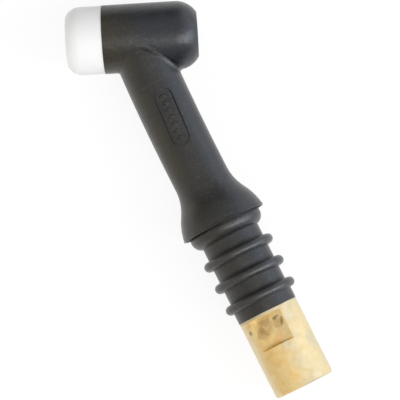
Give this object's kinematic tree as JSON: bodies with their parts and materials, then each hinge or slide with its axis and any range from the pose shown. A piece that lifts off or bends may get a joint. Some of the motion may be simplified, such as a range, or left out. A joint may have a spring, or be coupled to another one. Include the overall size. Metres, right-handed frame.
{
  "type": "tig torch body",
  "caption": "Rubber-covered air-cooled TIG torch body: angled round head, oval neck, flared skirt, ringed handle stem, white cup gasket and brass cable socket.",
  "frame": {"origin": "centre of the cable socket's mouth, on the neck's axis", "axes": "+X along the neck, out of the cable socket; the nozzle side of the head is at -Y; +Z is square to the plane in which the torch bends, so the torch lies on its side"},
  "size_m": [0.1619, 0.0513, 0.0322],
  "materials": {
    "moulded_rubber": "satin black silicone rubber",
    "white_ptfe": "white, slightly translucent",
    "socket_brass": "turned, tarnished in patches",
    "core_brass": "turned",
    "tube_copper": "drawn copper",
    "silver_solder": "cast fillet"
  },
  "bodies": {
    "torch": {"rubber_body": "moulded_rubber", "head_core": "core_brass", "neck_tube": "tube_copper", "cable_socket": "socket_brass", "head_solder_ring": "silver_solder", "socket_solder_ring": "silver_solder"},
    "gasket": {"cup_gasket": "white_ptfe"}
  },
  "joints": [
    {"name": "gasket_pull", "type": "slide", "parent": "torch", "child": "gasket", "axis": [-0.3939, -0.9191, 0], "range_m": [0, 0.02]}
  ]
}
